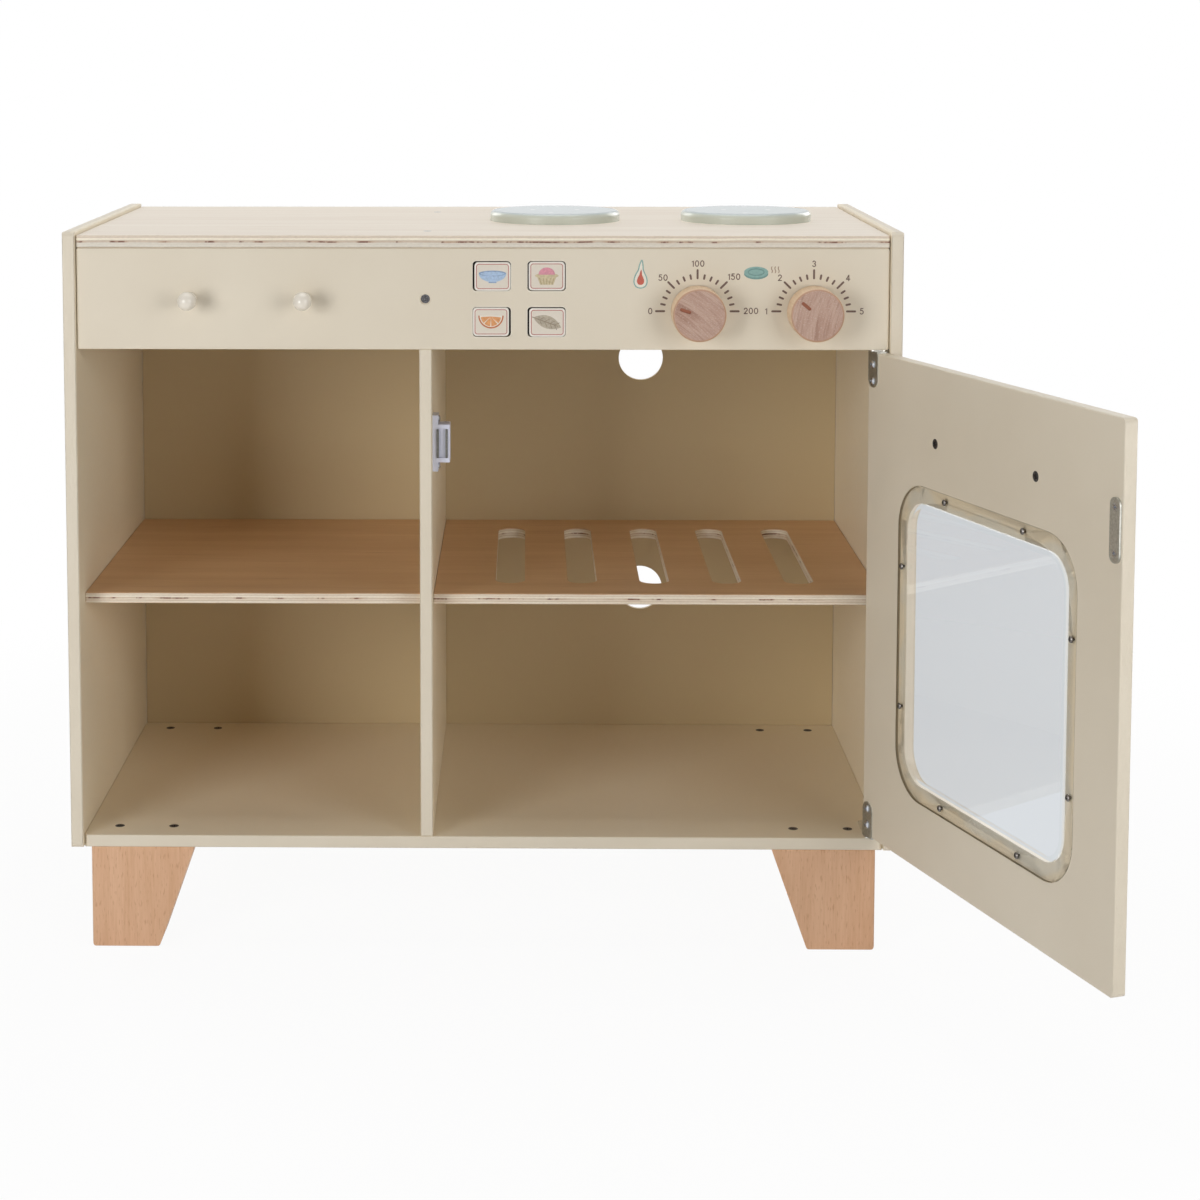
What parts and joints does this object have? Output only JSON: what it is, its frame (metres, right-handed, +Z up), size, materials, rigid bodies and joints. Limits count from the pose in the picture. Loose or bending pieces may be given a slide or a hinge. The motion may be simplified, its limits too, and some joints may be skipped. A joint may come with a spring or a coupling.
{
  "type": "toy oven",
  "caption": "Wooden play-kitchen oven unit with hob plates, turning knobs, press buttons, open cupboard, slotted oven rack and a glazed door on pivots.",
  "frame": {"origin": "on the floor, in the middle of the front left foot's sole", "axes": "+X to the user's right, +Y from the front to the back, +Z up; the door stands open towards -Y"},
  "size_m": [0.6936, 0.5932, 0.5314],
  "materials": {
    "cream_paint": "satin cream-beige paint on smooth fibreboard and plywood",
    "birch_plywood": "clear-lacquered pale birch plywood, plies bare on the edges",
    "beech_veneer": "clear-lacquered beech-faced plywood",
    "solid_beech": "sanded solid beech with a thin matt lacquer",
    "hob_paint": "pale blue-grey satin paint on turned wood",
    "button_tile": "off-white printed wooden tile",
    "zinc_steel": "bright zinc-plated steel",
    "dark_steel": "black-finished steel",
    "white_plastic": "moulded white plastic",
    "clear_pane": "clear polished acrylic sheet"
  },
  "bodies": {
    "carcass": {"side_panel_left": "cream_paint", "side_panel_right": "cream_paint", "bottom_board": "cream_paint", "worktop": "birch_plywood", "back_panel": "cream_paint", "divider": "cream_paint", "control_panel": "cream_paint", "shelf": "beech_veneer", "oven_rack": "beech_veneer", "foot_front_left": "solid_beech", "foot_front_right": "solid_beech", "foot_rear_left": "solid_beech", "foot_rear_right": "solid_beech", "foot_screws": "dark_steel", "side_screws": "zinc_steel", "worktop_screws": "zinc_steel", "control_panel_screw": "dark_steel", "back_panel_screws": "zinc_steel", "shelf_dowels": "solid_beech", "hinge_block": "solid_beech", "hinge_block_screws": "zinc_steel", "peg_left": "cream_paint", "peg_right": "cream_paint", "hob_plate_left": "hob_paint", "hob_plate_right": "hob_paint", "hob_plate_screws": "zinc_steel", "button_box": "white_plastic", "button_box_screws": "zinc_steel", "button_springs": "zinc_steel", "upper_hinge_leaf": "zinc_steel", "lower_hinge_leaf": "zinc_steel", "hinge_leaf_screws": "zinc_steel", "catch_housing": "white_plastic", "catch_pole_plates": "dark_steel", "catch_magnet": "dark_steel", "catch_screws": "zinc_steel"},
    "door": {"door_panel": "cream_paint", "window_pane": "clear_pane", "pane_screws": "zinc_steel", "upper_hinge_arm": "zinc_steel", "lower_hinge_arm": "zinc_steel", "hinge_rivets": "zinc_steel", "hinge_arm_screws": "zinc_steel", "strike_plate": "zinc_steel", "strike_screws": "zinc_steel", "door_handle": "solid_beech", "handle_screws": "dark_steel"},
    "oven_dial": {"oven_knob": "solid_beech", "oven_knob_washer": "zinc_steel", "oven_knob_screw": "zinc_steel"},
    "hob_dial": {"hob_knob": "solid_beech", "hob_knob_washer": "zinc_steel", "hob_knob_screw": "zinc_steel"},
    "press_button_upper_left": {"button_upper_left": "button_tile"},
    "press_button_upper_right": {"button_upper_right": "button_tile"},
    "press_button_lower_left": {"button_lower_left": "button_tile"},
    "press_button_lower_right": {"button_lower_right": "button_tile"}
  },
  "joints": [
    {"name": "door_hinge", "type": "hinge", "parent": "carcass", "child": "door", "pos_m": [0.5451, -0.0165, 0.2627], "axis": [0, 0, 1], "range_deg": [-109.5, 0]},
    {"name": "oven_knob_turn", "type": "hinge", "parent": "carcass", "child": "oven_dial", "pos_m": [0.4153, -0.024, 0.4689], "axis": [0, -1, 0], "continuous": true},
    {"name": "hob_knob_turn", "type": "hinge", "parent": "carcass", "child": "hob_dial", "pos_m": [0.4982, -0.024, 0.4689], "axis": [0, -1, 0], "continuous": true},
    {"name": "button_upper_left_press", "type": "slide", "parent": "carcass", "child": "press_button_upper_left", "axis": [0, 1, 0], "range_m": [0, 0.0025], "stiffness_N_per_m": 150, "springref_m": -0.003},
    {"name": "button_upper_right_press", "type": "slide", "parent": "carcass", "child": "press_button_upper_right", "axis": [0, 1, 0], "range_m": [0, 0.0025], "stiffness_N_per_m": 150, "springref_m": -0.003},
    {"name": "button_lower_left_press", "type": "slide", "parent": "carcass", "child": "press_button_lower_left", "axis": [0, 1, 0], "range_m": [0, 0.0025], "stiffness_N_per_m": 150, "springref_m": -0.003},
    {"name": "button_lower_right_press", "type": "slide", "parent": "carcass", "child": "press_button_lower_right", "axis": [0, 1, 0], "range_m": [0, 0.0025], "stiffness_N_per_m": 150, "springref_m": -0.003}
  ]
}
